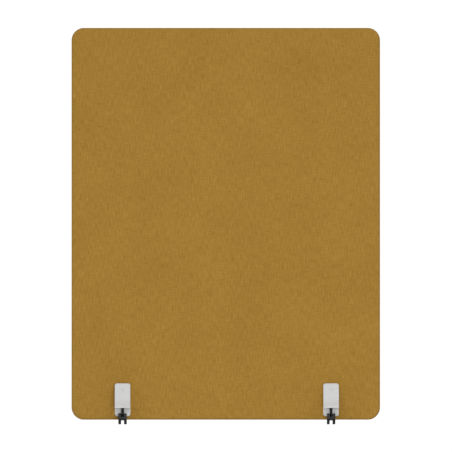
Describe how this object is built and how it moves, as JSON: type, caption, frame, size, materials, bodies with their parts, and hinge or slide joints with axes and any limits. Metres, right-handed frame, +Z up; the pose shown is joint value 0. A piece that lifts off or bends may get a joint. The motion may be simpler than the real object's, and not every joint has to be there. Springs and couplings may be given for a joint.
{
  "type": "desk privacy panel",
  "caption": "Tall fabric-covered desk screen with rounded corners, held at the desk's edge by white upper jaws and black lower jaws on draw screws.",
  "frame": {"origin": "on the panel's front face, at mid width, level with the top of the desk", "axes": "+Z up, -Y towards the person at the desk, +X to that person's right"},
  "size_m": [0.6, 0.07, 0.7706],
  "materials": {
    "cover_cloth": "matte",
    "wadding_fleece": "matte",
    "core_felt": "matte",
    "frame_pine": "matte",
    "clamp_white": "satin",
    "pad_white": "matte",
    "cap_white": "satin",
    "jaw_black": "satin",
    "grip_rubber": "matte",
    "screw_black": "satin",
    "zinc_steel": "satin"
  },
  "bodies": {
    "panel": {"frame_top_rail": "frame_pine", "frame_bottom_rail": "frame_pine", "frame_left_stile": "frame_pine", "frame_right_stile": "frame_pine", "acoustic_core": "core_felt", "front_wadding": "wadding_fleece", "rear_wadding": "wadding_fleece", "front_cover": "cover_cloth", "rear_cover": "cover_cloth", "left_clamp_body": "clamp_white", "left_jaw_pad": "pad_white", "left_hole_cap": "cap_white", "left_screw_bush": "screw_black", "left_rear_plate": "clamp_white", "left_fixing_screw_1": "zinc_steel", "left_fixing_screw_2": "zinc_steel", "left_fixing_screw_3": "zinc_steel", "left_sleeve_1": "zinc_steel", "left_sleeve_2": "zinc_steel", "left_sleeve_3": "zinc_steel", "right_clamp_body": "clamp_white", "right_jaw_pad": "pad_white", "right_hole_cap": "cap_white", "right_screw_bush": "screw_black", "right_rear_plate": "clamp_white", "right_fixing_screw_1": "zinc_steel", "right_fixing_screw_2": "zinc_steel", "right_fixing_screw_3": "zinc_steel", "right_sleeve_1": "zinc_steel", "right_sleeve_2": "zinc_steel", "right_sleeve_3": "zinc_steel"},
    "left_lower_jaw": {"left_lower_jaw": "jaw_black", "left_grip_strip_1": "grip_rubber", "left_grip_strip_2": "grip_rubber"},
    "left_draw_screw": {"left_draw_screw": "screw_black", "left_screw_washer": "zinc_steel", "left_retaining_clip": "screw_black"},
    "right_lower_jaw": {"right_lower_jaw": "jaw_black", "right_grip_strip_1": "grip_rubber", "right_grip_strip_2": "grip_rubber"},
    "right_draw_screw": {"right_draw_screw": "screw_black", "right_screw_washer": "zinc_steel", "right_retaining_clip": "screw_black"}
  },
  "joints": [
    {"name": "left_jaw_slide", "type": "slide", "parent": "panel", "child": "left_lower_jaw", "axis": [0, 0, -1], "range_m": [0, 0.022]},
    {"name": "left_screw_turn", "type": "hinge", "parent": "left_lower_jaw", "child": "left_draw_screw", "pos_m": [-0.2006, -0.015, 0], "axis": [0, 0, -1], "range_deg": [0, 9900]},
    {"name": "right_jaw_slide", "type": "slide", "parent": "panel", "child": "right_lower_jaw", "axis": [0, 0, -1], "range_m": [0, 0.022]},
    {"name": "right_screw_turn", "type": "hinge", "parent": "right_lower_jaw", "child": "right_draw_screw", "pos_m": [0.2046, -0.015, 0], "axis": [0, 0, -1], "range_deg": [0, 9900]}
  ],
  "couplings": [
    {"joint": "left_screw_turn", "follows": "left_jaw_slide", "rad_per_m": 7853.9},
    {"joint": "right_screw_turn", "follows": "right_jaw_slide", "rad_per_m": 7853.9}
  ]
}
